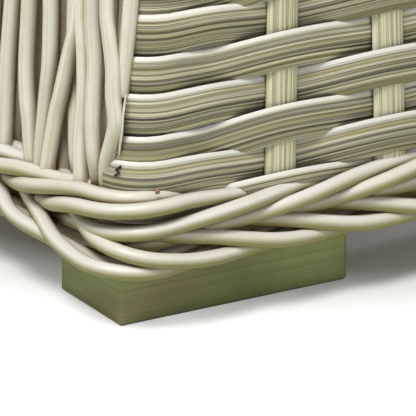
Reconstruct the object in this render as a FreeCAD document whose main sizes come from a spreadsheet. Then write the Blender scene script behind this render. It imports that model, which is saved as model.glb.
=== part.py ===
"""Garden obelisk: a tapering four-sided plant support in resin wicker over an aluminium frame.

Millimetres, +Z up, origin on the ground under the middle. Every face leans in by the same taper, and
a place on a face is given as u along it, v outward from the plane of its stakes, and its height.
"""
import FreeCAD
import Part
import Sketcher

import math
import os

from FreeCAD import Placement, Rotation, Vector

# Driving dimensions: name, value, what it is.
SIZES = [
    ("base_width", 415.0, "across the stake planes, at the ground"),
    ("top_width", 104.0, "across the stake planes, under the crown plate"),
    ("crown_height", 1250.0, "ground to the underside of the crown plate"),
    ("seat_gap", 0.3, "between a piece and what it is laid against"),
    ("cane_diameter", 7.0, "round resin cane"),
    ("plait_levels", 4, "canes up each side of the base plait"),
    ("foot_length", 109.0, "along the front and back"),
    ("foot_depth", 50.0, "along the sides"),
    ("foot_height", 25.0, "block foot"),
    ("foot_end_inset", 10.5, "stake plane at the ground to the foot's outer end"),
    ("foot_side_inset", 14.5, "stake plane at the ground to the foot's outer long face"),
    ("foot_rounding", 2.0, "upright edges of the foot"),
    ("foot_edge", 1.0, "chamfer round the foot's underside"),
    ("post_diameter", 20.0, "corner post tube"),
    ("post_wall", 1.5, "corner post tube"),
    ("insert_length", 22.0, "threaded insert in each end of a post"),
    ("rail_depth", 15.0, "frame rail, from outer to inner face"),
    ("rail_height", 20.0, "frame rail"),
    ("rail_wall", 1.5, "frame rail"),
    ("bolt_diameter", 6.0, "foot bolts, crown screws and finial stud"),
    ("bolt_head_diameter", 10.0, "foot bolts and crown screws"),
    ("bolt_head_height", 5.0, "foot bolts and crown screws"),
    ("head_clearance", 1.0, "round a bolt head in its counterbore"),
    ("stake_count", 6, "flat stakes on the front and on the back"),
    ("stake_pitch", 50.0, "at the base plait"),
    ("stake_width", 15.0, "flat ribbed stake"),
    ("stake_thickness", 4.0, "flat ribbed stake"),
    ("weaver_thickness", 2.5, "flat ribbed weaver"),
    ("row_pitch", 15.0, "one weaver above the next"),
    ("skirt_rows", 24, "weavers in the skirt"),
    ("band_rows", 6, "weavers in the waist band"),
    ("band_height", 760.0, "ground to the underside of the waist band"),
    ("cap_rows", 8, "weavers under the crown plate"),
    ("panel_wrap", 20.0, "degrees that a skirt weaver turns round a corner"),
    ("band_wrap", 38.0, "degrees that a band or cap weaver turns round a corner"),
    ("screen_canes", 27, "canes in the front layer of a side screen"),
    ("uprights", 3, "open trellis canes on each face"),
    ("upright_spread", 0.42, "spacing of the uprights, as a share of the half width"),
    ("plate_overhang", 8.0, "crown plate beyond the stake plane"),
    ("plate_thickness", 5.0, "crown plate"),
    ("plate_rounding", 10.0, "corners of the crown plate"),
    ("cap_lip", 3.0, "crown plate beyond the pyramid's foot"),
    ("pyramid_height", 150.0, "pyramid above the crown plate"),
    ("pyramid_top", 26.0, "flat on top of the pyramid, square"),
    ("pyramid_wall", 3.0, "pyramid shell, measured level"),
    ("pyramid_roof", 6.0, "pyramid shell at its top"),
    ("ball_diameter", 46.0, "finial ball"),
    ("neck_diameter", 16.0, "finial neck"),
    ("neck_length", 10.0, "finial foot disc to the ball"),
    ("disc_thickness", 4.0, "finial foot disc"),
    ("stud_reach", 14.0, "finial stud into the ball's neck"),
]

FACES = {"front": 0.0, "right": 90.0, "back": 180.0, "left": 270.0}
CORNERS = {"front_left": (-1, -1), "front_right": (1, -1), "back_right": (1, 1), "back_left": (-1, 1)}
CORNER_TURNS = {"front_left": 0.0, "front_right": 90.0, "back_right": 180.0, "back_left": 270.0}

doc = FreeCAD.newDocument("garden_obelisk")
sheet = doc.addObject("Spreadsheet::Sheet", "sizes")
for line, (alias, value, note) in enumerate(SIZES, 1):
    sheet.set(f"A{line}", str(value))
    sheet.setAlias(f"A{line}", alias)
    sheet.set(f"B{line}", note)
doc.recompute()

pieces = []


def size(alias):
    """The sheet's value of one driving dimension."""
    return float(sheet.get(alias))


def keep(piece, label):
    """Give a finished sub-part its label and list it for export."""
    piece.Label = label
    pieces.append(piece)
    return piece


# --- the shape that the faces share ---------------------------------------------------------------

GAP = size("seat_gap")
CANE_R = size("cane_diameter") / 2
CANE_STEP = size("cane_diameter") + GAP
TAPER = (size("base_width") - size("top_width")) / 2 / size("crown_height")
POST_R = size("post_diameter") / 2
# A cane on each side of the stake plane; the inner one is laid round the corner post.
INNER_ARC_R = POST_R + GAP + CANE_R
CORNER_R = INNER_ARC_R + CANE_STEP

PLAIT_FOOT = size("foot_height") + GAP
PLAIT_LEVELS = [PLAIT_FOOT + CANE_R + level * CANE_STEP for level in range(int(size("plait_levels")))]
PLAIT_TOP = PLAIT_LEVELS[-1] + CANE_R
STAKE_FOOT = PLAIT_LEVELS[0] + CANE_R + GAP
SKIRT_FOOT = PLAIT_TOP + GAP
SKIRT_TOP = SKIRT_FOOT + size("skirt_rows") * size("row_pitch")
BORDER_LEVELS = [SKIRT_TOP + CANE_R, SKIRT_TOP + CANE_R + CANE_STEP]
BORDER_TOP = BORDER_LEVELS[-1] + CANE_R
BORDER_CAP = BORDER_TOP + GAP + CANE_R
UPRIGHT_FOOT = BORDER_CAP + CANE_R + GAP
UPRIGHT_TOP = size("crown_height") - GAP
CAP_FOOT = UPRIGHT_TOP - size("cap_rows") * size("row_pitch") + GAP
BAND_MIDDLE = size("band_height") + size("band_rows") * size("row_pitch") / 2

# The same relations as expressions, for the pieces that are bound to the sheet.
TAPER_EXPR = "((sizes.base_width - sizes.top_width) / 2 / sizes.crown_height)"
SETBACK_EXPR = "(1.5 * sizes.cane_diameter + 2 * sizes.seat_gap)"
CORNER_EXPR = f"({SETBACK_EXPR} + sizes.post_diameter / 2)"


def half_expr(height):
    """Expression for the middle of the obelisk to a stake plane, at a height."""
    return f"(sizes.base_width / 2 - {TAPER_EXPR} * ({height}))"


def half_width(height):
    """Middle of the obelisk to a stake plane, at a height."""
    return size("base_width") / 2 - TAPER * height


def on_face(turn, u, v, height):
    """A point of a face, turned about the middle from the front face."""
    return Rotation(Vector(0, 0, 1), turn).multVec(Vector(u, -(half_width(height) + v), height))


def on_corner(turn, radius, angle, height):
    """A point round a corner post: angle 0 faces the front, 90 faces the left side."""
    reach = half_width(height) - CORNER_R
    x = -reach - radius * math.sin(math.radians(angle))
    y = -reach - radius * math.cos(math.radians(angle))
    return Rotation(Vector(0, 0, 1), turn).multVec(Vector(x, y, height))


def feature(label, solids):
    """A node made from solids, each a separate piece of the group."""
    shape = solids[0] if len(solids) == 1 else Part.makeCompound(solids)
    piece = doc.addObject("Part::Feature", label)
    piece.Shape = shape
    piece.Placement = Placement()
    return keep(piece, label)


def bind(piece, **expressions):
    """Bind properties to the sheet; a double underscore stands for a dot."""
    for name, expression in expressions.items():
        piece.setExpression(name.replace("__", "."), expression)
    return piece


# --- PartDesign helpers ---------------------------------------------------------------------------

def new_body(label):
    """An empty body with its label."""
    body = doc.addObject("PartDesign::Body", label)
    body.Label = label
    return body


def new_sketch(body, name, plane="XY_Plane"):
    """A sketch on one of the body's own origin planes."""
    sketch = body.newObject("Sketcher::SketchObject", name)
    support = next(item for item in body.Origin.OriginFeatures if item.Role == plane)
    sketch.AttachmentSupport = [(support, "")]
    sketch.MapMode = "FlatFace"
    return sketch


def centred_rectangle(sketch, width, depth):
    """A rectangle about the sketch's origin, its sides bound to two expressions."""
    corners = [Vector(-1, -1, 0), Vector(1, -1, 0), Vector(1, 1, 0), Vector(-1, 1, 0)]
    for index, corner in enumerate(corners):
        sketch.addGeometry(Part.LineSegment(corner * 20, corners[(index + 1) % 4] * 20), False)
    for index in range(4):
        sketch.addConstraint(Sketcher.Constraint("Coincident", index, 2, (index + 1) % 4, 1))
    for index, kind in enumerate(["Horizontal", "Vertical", "Horizontal", "Vertical"]):
        sketch.addConstraint(Sketcher.Constraint(kind, index))
    sketch.addConstraint(Sketcher.Constraint("Symmetric", 0, 1, 1, 2, -1, 1))
    across = sketch.addConstraint(Sketcher.Constraint("DistanceX", 0, 1, 0, 2, 40))
    along = sketch.addConstraint(Sketcher.Constraint("DistanceY", 1, 1, 1, 2, 40))
    sketch.setExpression(f"Constraints[{across}]", width)
    sketch.setExpression(f"Constraints[{along}]", depth)


def circle_at(sketch, centre, radius, side=(1, 1), offset=("0", "0")):
    """A circle off the sketch's origin on the given side, bound to the sheet."""
    where = Vector(side[0] * centre[0], side[1] * centre[1], 0)
    ring = sketch.addGeometry(Part.Circle(where, Vector(0, 0, 1), 3), False)
    for axis, kind in enumerate(["DistanceX", "DistanceY"]):
        ends = (-1, 1, ring, 3) if side[axis] > 0 else (ring, 3, -1, 1)
        row = sketch.addConstraint(Sketcher.Constraint(kind, *ends, abs(where[axis])))
        sketch.setExpression(f"Constraints[{row}]", offset[axis])
    row = sketch.addConstraint(Sketcher.Constraint("Radius", ring, 3))
    sketch.setExpression(f"Constraints[{row}]", radius)


def pad(body, sketch, name, length):
    """Pad a sketch by an expression."""
    step = body.newObject("PartDesign::Pad", name)
    step.Profile = sketch
    step.setExpression("Length", length)
    return step


def pocket_up(body, sketch, name, length):
    """Cut a sketch upwards from its plane by an expression, and check that it cuts."""
    doc.recompute()
    before = body.Shape.Volume
    step = body.newObject("PartDesign::Pocket", name)
    step.Profile = sketch
    step.Reversed = True
    step.setExpression("Length", length)
    doc.recompute()
    if body.Shape.Volume >= before:
        raise RuntimeError(f"{name} of {body.Label} cuts nothing")
    return step


def round_corners(body, name, radius, height):
    """Fillet the upright edges of a body that is a plain block of the given height."""
    block = body.Tip
    uprights = [
        f"Edge{index}"
        for index, edge in enumerate(block.Shape.Edges, 1)
        if abs(edge.BoundBox.ZLength - height) < 1e-6
    ]
    rounding = body.newObject("PartDesign::Fillet", name)
    rounding.Base = (block, uprights)
    rounding.setExpression("Radius", radius)
    doc.recompute()
    return rounding


# --- feet, and the bolts that hold them to the posts ----------------------------------------------

def post_centre(height):
    """How far a post's axis stands from the middle, along X and along Y."""
    return half_width(height) - CORNER_R


BOLT_HEIGHT = size("foot_height")
POST_AT_FOOT = f"({half_expr('sizes.foot_height')} - {CORNER_EXPR})"
FOOT_END = "(sizes.base_width / 2 - sizes.foot_end_inset)"
FOOT_SIDE = "(sizes.base_width / 2 - sizes.foot_side_inset)"


def build_foot(corner, side):
    """A rounded block with a counterbored hole under its post."""
    body = new_body(f"foot_{corner}")
    outline = new_sketch(body, "foot_outline")
    centred_rectangle(outline, "sizes.foot_length", "sizes.foot_depth")
    pad(body, outline, "foot_block", "sizes.foot_height")
    doc.recompute()
    rounding = round_corners(body, "foot_rounding", "sizes.foot_rounding", size("foot_height"))
    under = [f"Face{n}" for n, face in enumerate(rounding.Shape.Faces, 1) if face.BoundBox.ZMax < 1e-6]
    edge = body.newObject("PartDesign::Chamfer", "foot_edge")
    edge.Base = (rounding, under)
    edge.setExpression("Size", "sizes.foot_edge")
    # The block's middle to the bolt, which stands under the post.
    offset = (
        f"{POST_AT_FOOT} - {FOOT_END} + sizes.foot_length / 2",
        f"{POST_AT_FOOT} - {FOOT_SIDE} + sizes.foot_depth / 2",
    )
    guess = [
        post_centre(BOLT_HEIGHT) - size("base_width") / 2 + size(inset) + size(name) / 2
        for inset, name in (("foot_end_inset", "foot_length"), ("foot_side_inset", "foot_depth"))
    ]
    shaft = new_sketch(body, "bolt_hole")
    circle_at(shaft, guess, "sizes.bolt_diameter / 2 + sizes.seat_gap", side, offset)
    pocket_up(body, shaft, "bolt_hole_cut", "sizes.foot_height")
    bore = new_sketch(body, "head_counterbore")
    circle_at(bore, guess, "sizes.bolt_head_diameter / 2 + sizes.head_clearance", side, offset)
    pocket_up(body, bore, "counterbore_cut", "sizes.bolt_head_height + sizes.head_clearance")
    bind(
        body,
        Placement__Base__x=f"{side[0]} * ({FOOT_END} - sizes.foot_length / 2)",
        Placement__Base__y=f"{side[1]} * ({FOOT_SIDE} - sizes.foot_depth / 2)",
    )
    return keep(body, f"foot_{corner}")


def bolt(centre, under_head, direction, length):
    """A plain headed bolt: its shaft runs from under the head along the direction."""
    start = Vector(centre[0], centre[1], under_head)
    axis = Vector(0, 0, direction)
    shaft = Part.makeCylinder(size("bolt_diameter") / 2, length, start, axis)
    head = Part.makeCylinder(size("bolt_head_diameter") / 2, size("bolt_head_height"), start, axis * -1)
    return shaft.fuse(head).removeSplitter()


def build_foot_bolts():
    """One bolt up through each foot into the post's lower insert."""
    head_top = size("bolt_head_height") + size("head_clearance")
    reach = size("foot_height") - head_top + size("insert_length") * 0.7
    away = post_centre(BOLT_HEIGHT)
    feature("foot_bolts", [bolt((x * away, y * away), head_top, 1, reach) for x, y in CORNERS.values()])


# --- frame: leaning posts, their inserts, and the rails between them ------------------------------

def oblique_tube(turn, foot, top, radius, bore=0.0):
    """A tube along a corner, its ends cut level."""
    lower, upper = (on_corner(turn, 0, 0, height) for height in (foot, top))
    outside = cane(lower, upper, radius)
    return outside.cut(cane(lower, upper, bore)) if bore else outside


def build_posts():
    """The four corner tubes, from the feet to the crown plate."""
    for corner, turn in CORNER_TURNS.items():
        bore = POST_R - size("post_wall")
        tube = oblique_tube(turn, size("foot_height"), size("crown_height"), POST_R, bore)
        feature(f"post_{corner}", [tube])


def build_inserts():
    """Threaded plugs pressed into both ends of each post."""
    radius = POST_R - size("post_wall") - GAP / 2
    lower, upper = [], []
    for side, turn in zip(CORNERS.values(), CORNER_TURNS.values()):
        for group, foot, fixing in (
            (lower, size("foot_height"), size("foot_height")),
            (upper, size("crown_height") - size("insert_length"), size("crown_height")),
        ):
            plug = oblique_tube(turn, foot, foot + size("insert_length"), radius)
            away = post_centre(fixing)
            hole = Part.makeCylinder(
                size("bolt_diameter") / 2 + GAP / 2,
                size("insert_length") * 2,
                Vector(side[0] * away, side[1] * away, foot - size("insert_length") / 2),
            )
            group.append(plug.cut(hole))
    feature("post_foot_inserts", lower)
    feature("post_top_inserts", upper)


def build_rail(label, face, foot):
    """A hollow rail between two posts, leaning with its face."""
    length = f"({half_expr('HEIGHT')} - {CORNER_EXPR} - sizes.post_diameter / 2 - sizes.seat_gap)"
    top = f"{foot} + sizes.rail_height"

    def wedge(name, wall, overrun):
        block = doc.addObject("Part::Wedge", f"{label}_{name}")
        near = f"{half_expr(foot + ' + ' + wall)} - {SETBACK_EXPR}"
        far = f"{half_expr(top + ' - ' + wall)} - {SETBACK_EXPR}"
        low = f"{length.replace('HEIGHT', top)} + {overrun}"
        bind(
            block,
            Xmin=f"-({low})",
            Xmax=low,
            X2min=f"-({low})",
            X2max=low,
            Ymin=wall,
            Ymax=f"sizes.rail_height - {wall}",
            Zmin=f"{near} - sizes.rail_depth + {wall}",
            Zmax=f"{near} - {wall}",
            Z2min=f"{far} - sizes.rail_depth + {wall}",
            Z2max=f"{far} - {wall}",
        )
        return block

    rail = doc.addObject("Part::Cut", label)
    rail.Base = wedge("outside", "0", "0")
    rail.Tool = wedge("inside", "sizes.rail_wall", "sizes.rail_wall")
    rail.Placement = Placement(
        Vector(0, 0, 0),
        Rotation(Vector(0, 0, 1), FACES[face]) * Rotation(Vector(1, 0, 0), 90),
    )
    rail.setExpression("Placement.Base.z", foot)
    return keep(rail, label)


# --- resin wicker ---------------------------------------------------------------------------------

def cane(lower, upper, radius=CANE_R):
    """A round cane between two points, its ends cut level."""
    return Part.Face(Part.Wire([Part.makeCircle(radius, lower)])).extrude(upper - lower)


def loop(offset, height):
    """A cane bent round all four faces, off the stake plane by an offset."""
    half = half_width(height) + offset
    radius = CORNER_R + offset
    straight = half - radius
    diagonal = straight + radius * math.sqrt(0.5)
    edges = []
    for turn in FACES.values():
        spin = Rotation(Vector(0, 0, 1), turn)
        begin, end, middle, after = (
            spin.multVec(Vector(x, y, height))
            for x, y in [(-straight, -half), (straight, -half), (diagonal, -diagonal), (half, -straight)]
        )
        edges += [Part.LineSegment(begin, end).toShape(), Part.Arc(end, middle, after).toShape()]
    profile = Part.makeCircle(CANE_R, Vector(-straight, -half, height), Vector(1, 0, 0))
    return Part.Wire(edges).makePipeShell([Part.Wire([profile])], True, False)


def build_plait():
    """Base plait: canes outside and inside the stakes, and one under their ends."""
    sides = [loop(side * CANE_STEP, level) for side in (1, -1) for level in PLAIT_LEVELS]
    feature("base_plait", sides + [loop(0, PLAIT_LEVELS[0])])


def build_border():
    """Border along the top of the skirt, with a cane over the ends of the stakes."""
    sides = [loop(side * CANE_STEP, level) for side in (1, -1) for level in BORDER_LEVELS]
    feature("skirt_border", sides)
    feature("border_cap", [loop(0, BORDER_CAP)])


def stake_places(height):
    """Middles of the flat stakes along a face; they close up with the taper."""
    count = int(size("stake_count"))
    share = half_width(height) / half_width(PLAIT_FOOT)
    return [(index - (count - 1) / 2) * size("stake_pitch") * share for index in range(count)]


def upright_places(height):
    """Middles of the open trellis canes along a face."""
    count = int(size("uprights"))
    return [(index - (count - 1) / 2) * size("upright_spread") * half_width(height) for index in range(count)]


def build_stakes(face):
    """Flat stakes from the base plait to the top of the skirt border."""
    turn = FACES[face]
    wide, thick = size("stake_width") / 2, size("stake_thickness") / 2
    stakes = []
    for lower, upper in zip(stake_places(STAKE_FOOT), stake_places(BORDER_TOP)):
        corners = [(-wide, -thick), (wide, -thick), (wide, thick), (-wide, thick)]
        outline = [on_face(turn, lower + u, v, STAKE_FOOT) for u, v in corners]
        rise = on_face(turn, upper, 0, BORDER_TOP) - on_face(turn, lower, 0, STAKE_FOOT)
        stakes.append(Part.Face(Part.makePolygon(outline + outline[:1])).extrude(rise))
    feature(f"stakes_{face}", stakes)


def ribbon(line, thickness):
    """Closed outline of a strip laid along a line of (x, y) points."""
    near, far = [], []
    for index, (x, y) in enumerate(line):
        before = line[max(index - 1, 0)]
        after = line[min(index + 1, len(line) - 1)]
        dx, dy = after[0] - before[0], after[1] - before[1]
        length = math.hypot(dx, dy)
        normal = (dy / length * thickness / 2, -dx / length * thickness / 2)
        near.append((x + normal[0], y + normal[1]))
        far.append((x - normal[0], y - normal[1]))
    return near + far[::-1]


def weaver(turn, foot, places, reach, flat, side, wrap):
    """One flat weaver: outside and inside the stakes by turns, and round both corners."""
    top = foot + size("row_pitch") - GAP
    middle = (foot + top) / 2
    half = half_width(middle)
    straight = half - CORNER_R
    line = []
    for index, place in enumerate(places(middle)):
        v = reach if (index + side) % 2 else -reach
        line += [(place - flat, -half - v), (place + flat, -half - v)]
    bends = [math.radians(wrap * step / 3) for step in range(4)]
    arc = [(straight + CORNER_R * math.sin(a), -straight - CORNER_R * math.cos(a)) for a in bends]
    line = [(-x, y) for x, y in arc[::-1]] + line + arc
    lean = half_width(foot) - half
    spin = Rotation(Vector(0, 0, 1), turn)
    outline = [
        spin.multVec(Vector(x, y - lean, foot)) for x, y in ribbon(line, size("weaver_thickness"))
    ]
    rise = spin.multVec(Vector(0, TAPER * (top - foot), top - foot))
    return Part.Face(Part.makePolygon(outline + outline[:1])).extrude(rise)


def build_weave(label, turn, foot, rows, places, carried, wide, wrap):
    """A panel of weavers on what carries them; carried and wide are half of its thickness and width."""
    reach = carried + GAP + size("weaver_thickness") / 2
    # The flat over a stake is a little longer than the stake is wide, for its lean.
    flat = wide + 4 * GAP
    solids = [
        weaver(turn, foot + row * size("row_pitch"), places, reach, flat, row % 2, wrap)
        for row in range(int(rows))
    ]
    feature(label, solids)


def build_screen(face):
    """Side screen: upright canes in a front layer, and a rear layer behind their gaps."""
    turn = FACES[face]
    count = int(size("screen_canes"))

    def layer(number, offset, foot, top):
        solids = []
        for index in range(number):
            share = (index - (number - 1) / 2) / ((count - 1) / 2)
            ends = [on_face(turn, share * post_centre(z), offset, z) for z in (foot, top)]
            solids.append(cane(*ends))
        return solids

    feature(f"screen_front_{face}", layer(count, 0, STAKE_FOOT, BORDER_TOP))
    feature(f"screen_rear_{face}", layer(count - 1, -CANE_STEP, SKIRT_FOOT, SKIRT_TOP - GAP))


def build_corner_canes(corner):
    """Canes round one post: a skirt layer outside, and a layer laid on the post."""
    turn = CORNER_TURNS[corner]
    mirrored = corner in ("front_right", "back_left")

    def layer(radius, angles, foot, top):
        turned = [90 - angle if mirrored else angle for angle in angles]
        return [cane(on_corner(turn, radius, a, foot), on_corner(turn, radius, a, top)) for a in turned]

    skirt = layer(CORNER_R, (40, 65), STAKE_FOOT, BORDER_TOP)
    skirt += layer(INNER_ARC_R, (0, 45), SKIRT_FOOT, SKIRT_TOP - GAP)
    feature(f"corner_canes_{corner}", skirt)
    feature(f"leg_canes_{corner}", layer(INNER_ARC_R, (0, 45, 90), BORDER_TOP + GAP, UPRIGHT_TOP))


def build_uprights(face):
    """Open trellis canes from the skirt border to the crown plate."""
    turn = FACES[face]
    ends = zip(upright_places(UPRIGHT_FOOT), upright_places(UPRIGHT_TOP))
    feature(
        f"uprights_{face}",
        [cane(on_face(turn, a, 0, UPRIGHT_FOOT), on_face(turn, b, 0, UPRIGHT_TOP)) for a, b in ends],
    )


# --- crown: plate, screws, pyramid and ball -------------------------------------------------------

PLATE_WIDTH = "(sizes.top_width + 2 * sizes.plate_overhang)"


def build_crown_plate():
    """Rounded plate screwed down to the posts, with a hole for each screw."""
    body = new_body("crown_plate")
    outline = new_sketch(body, "plate_outline")
    centred_rectangle(outline, PLATE_WIDTH, PLATE_WIDTH)
    pad(body, outline, "plate", "sizes.plate_thickness")
    doc.recompute()
    round_corners(body, "plate_rounding", "sizes.plate_rounding", size("plate_thickness"))
    offset = f"{half_expr('sizes.crown_height')} - {CORNER_EXPR}"
    away = post_centre(size("crown_height"))
    holes = new_sketch(body, "screw_holes")
    for side in CORNERS.values():
        circle_at(holes, (away, away), "sizes.bolt_diameter / 2 + sizes.seat_gap", side, (offset, offset))
    pocket_up(body, holes, "screw_holes_cut", "sizes.plate_thickness")
    bind(body, Placement__Base__z="sizes.crown_height")
    return keep(body, "crown_plate")


def build_crown_screws():
    """One screw down through the plate into each post's upper insert."""
    seat = size("crown_height") + size("plate_thickness")
    away = post_centre(size("crown_height"))
    reach = size("plate_thickness") + size("insert_length") * 0.7
    feature("crown_screws", [bolt((x * away, y * away), seat, -1, reach) for x, y in CORNERS.values()])


def build_pyramid():
    """Hollow pyramid on the crown plate, with a hole for the finial's stud."""
    foot = f"({PLATE_WIDTH} / 2 - sizes.cap_lip)"

    def wedge(name, foot_half, top_half, height):
        block = doc.addObject("Part::Wedge", name)
        bind(block, Xmin=f"-({foot_half})", Xmax=foot_half, Zmin=f"-({foot_half})", Zmax=foot_half)
        bind(block, X2min=f"-({top_half})", X2max=top_half, Z2min=f"-({top_half})", Z2max=top_half)
        bind(block, Ymin="0", Ymax=height)
        return block

    slope = f"(({foot} - sizes.pyramid_top / 2) / sizes.pyramid_height)"
    inner_top = f"sizes.pyramid_top / 2 + {slope} * sizes.pyramid_roof - sizes.pyramid_wall"
    shell = doc.addObject("Part::Cut", "pyramid_shell")
    shell.Base = wedge("pyramid_outside", foot, "sizes.pyramid_top / 2", "sizes.pyramid_height")
    shell.Tool = wedge(
        "pyramid_inside",
        f"{foot} - sizes.pyramid_wall",
        inner_top,
        "sizes.pyramid_height - sizes.pyramid_roof",
    )
    hole = doc.addObject("Part::Cylinder", "stud_hole")
    bind(hole, Radius="sizes.bolt_diameter / 2 + sizes.seat_gap / 2", Height="2 * sizes.pyramid_height")
    hole.Placement = Placement(Vector(0, 0, 0), Rotation(Vector(1, 0, 0), -90))
    pyramid = doc.addObject("Part::Cut", "pyramid")
    pyramid.Base = shell
    pyramid.Tool = hole
    pyramid.Placement = Placement(Vector(0, 0, 0), Rotation(Vector(1, 0, 0), 90))
    pyramid.setExpression("Placement.Base.z", "sizes.crown_height + sizes.plate_thickness")
    return keep(pyramid, "pyramid")


PYRAMID_TOP = size("crown_height") + size("plate_thickness") + size("pyramid_height")


def build_finial():
    """Turned ball on a neck and a foot disc, bored for its stud."""
    neck, ball = size("neck_diameter") / 2, size("ball_diameter") / 2
    disc_top = PYRAMID_TOP + size("disc_thickness")
    sink = ball - math.sqrt(ball ** 2 - neck ** 2)
    centre = disc_top + size("neck_length") + ball - sink
    disc = Part.makeCylinder(size("pyramid_top") / 2 - GAP, size("disc_thickness"), Vector(0, 0, PYRAMID_TOP))
    shaft = Part.makeCylinder(neck, centre - disc_top, Vector(0, 0, disc_top))
    sphere = Part.makeSphere(ball, Vector(0, 0, centre))
    bore = Part.makeCylinder(
        size("bolt_diameter") / 2 + GAP / 2,
        size("stud_reach") + GAP,
        Vector(0, 0, PYRAMID_TOP),
    )
    feature("finial", [disc.fuse([shaft, sphere]).removeSplitter().cut(bore)])
    length = size("stud_reach") + size("pyramid_roof") + size("bolt_head_height")
    start = Vector(0, 0, PYRAMID_TOP + size("stud_reach") - length)
    feature("finial_stud", [Part.makeCylinder(size("bolt_diameter") / 2, length, start)])


# --- assembly -------------------------------------------------------------------------------------

for corner_name, corner_side in CORNERS.items():
    build_foot(corner_name, corner_side)
    build_corner_canes(corner_name)
build_foot_bolts()
build_posts()
build_inserts()
build_plait()
build_border()
for face_name in FACES:
    build_rail(f"base_rail_{face_name}", face_name, "sizes.foot_height")
    build_rail(f"skirt_rail_{face_name}", face_name, f"{SKIRT_TOP} - sizes.rail_height")
    build_rail(f"band_rail_{face_name}", face_name, f"{BAND_MIDDLE} - sizes.rail_height / 2")
    build_uprights(face_name)
for face_name in ("front", "back"):
    build_stakes(face_name)
    build_weave(
        f"skirt_weave_{face_name}", FACES[face_name], SKIRT_FOOT, size("skirt_rows"), stake_places,
        size("stake_thickness") / 2, size("stake_width") / 2, size("panel_wrap"),
    )
for face_name in ("left", "right"):
    build_screen(face_name)
for part_name, part_foot, part_rows in (
    ("band_weave", size("band_height"), size("band_rows")),
    ("cap_weave", CAP_FOOT, size("cap_rows")),
):
    for face_name, face_turn in FACES.items():
        build_weave(
            f"{part_name}_{face_name}", face_turn, part_foot, part_rows, upright_places,
            CANE_R, CANE_R, size("band_wrap"),
        )
build_crown_plate()
build_crown_screws()
build_pyramid()
build_finial()
doc.recompute()

for item in doc.Objects:
    if "Invalid" in item.State or "Error" in item.State:
        raise RuntimeError(f"{item.Label} did not compute: {item.State}")
for piece in pieces:
    if piece.Shape.isNull() or not piece.Shape.isValid():
        raise RuntimeError(f"{piece.Label} has no valid shape")

os.makedirs("parts", exist_ok=True)
for piece in pieces:
    piece.Shape.exportStep(f"parts/{piece.Label}.step")
print(len(pieces), "nodes,", sum(len(piece.Shape.Solids) for piece in pieces), "solids")
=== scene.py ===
"""Garden obelisk in resin wicker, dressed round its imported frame. Metres, +Z up.

The frame gives the lean of the faces and the levels of every part. The canes, weavers, stakes and plait
are modelled here over plain CAD solids; the feet, posts, rails, plate, pyramid and ball keep their CAD
shapes and get their finishes here.
"""
import logging
import math
import random
from dataclasses import dataclass, field
from enum import Enum
from typing import Optional, Sequence, Union

import bmesh
import bpy
from mathutils import Matrix, Vector


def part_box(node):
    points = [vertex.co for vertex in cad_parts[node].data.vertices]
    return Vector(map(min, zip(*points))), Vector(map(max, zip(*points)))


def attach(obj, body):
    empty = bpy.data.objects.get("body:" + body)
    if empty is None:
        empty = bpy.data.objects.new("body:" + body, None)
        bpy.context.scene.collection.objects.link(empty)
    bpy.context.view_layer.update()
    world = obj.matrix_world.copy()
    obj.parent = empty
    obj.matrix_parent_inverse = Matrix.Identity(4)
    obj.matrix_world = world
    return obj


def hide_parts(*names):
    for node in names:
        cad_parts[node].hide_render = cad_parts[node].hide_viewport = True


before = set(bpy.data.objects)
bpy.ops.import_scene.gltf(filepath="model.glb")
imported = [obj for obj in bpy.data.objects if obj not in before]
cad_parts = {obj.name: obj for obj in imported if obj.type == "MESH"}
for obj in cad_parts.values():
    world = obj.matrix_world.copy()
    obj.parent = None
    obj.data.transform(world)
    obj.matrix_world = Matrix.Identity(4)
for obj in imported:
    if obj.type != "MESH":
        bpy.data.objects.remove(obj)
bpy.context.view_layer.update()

LOG = logging.getLogger("obelisk")
MM = 0.001

Path = list[Vector]
Colour = tuple[float, float, float]


# --- shader maths ---------------------------------------------------------------------------------

class Value:
    """One shader socket that Python arithmetic can be done on."""

    def __init__(self, graph: "Graph", socket: bpy.types.NodeSocket) -> None:
        """Wrap an output socket of a graph."""
        self.graph = graph
        self.socket = socket

    def __add__(self, other: "Number") -> "Value":
        """Sum."""
        return self.graph.math("ADD", self, other)

    def __radd__(self, other: "Number") -> "Value":
        """Sum, reflected."""
        return self.graph.math("ADD", other, self)

    def __sub__(self, other: "Number") -> "Value":
        """Difference."""
        return self.graph.math("SUBTRACT", self, other)

    def __rsub__(self, other: "Number") -> "Value":
        """Difference, reflected."""
        return self.graph.math("SUBTRACT", other, self)

    def __mul__(self, other: "Number") -> "Value":
        """Product."""
        return self.graph.math("MULTIPLY", self, other)

    def __rmul__(self, other: "Number") -> "Value":
        """Product, reflected."""
        return self.graph.math("MULTIPLY", other, self)


Number = Union[Value, float]


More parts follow.
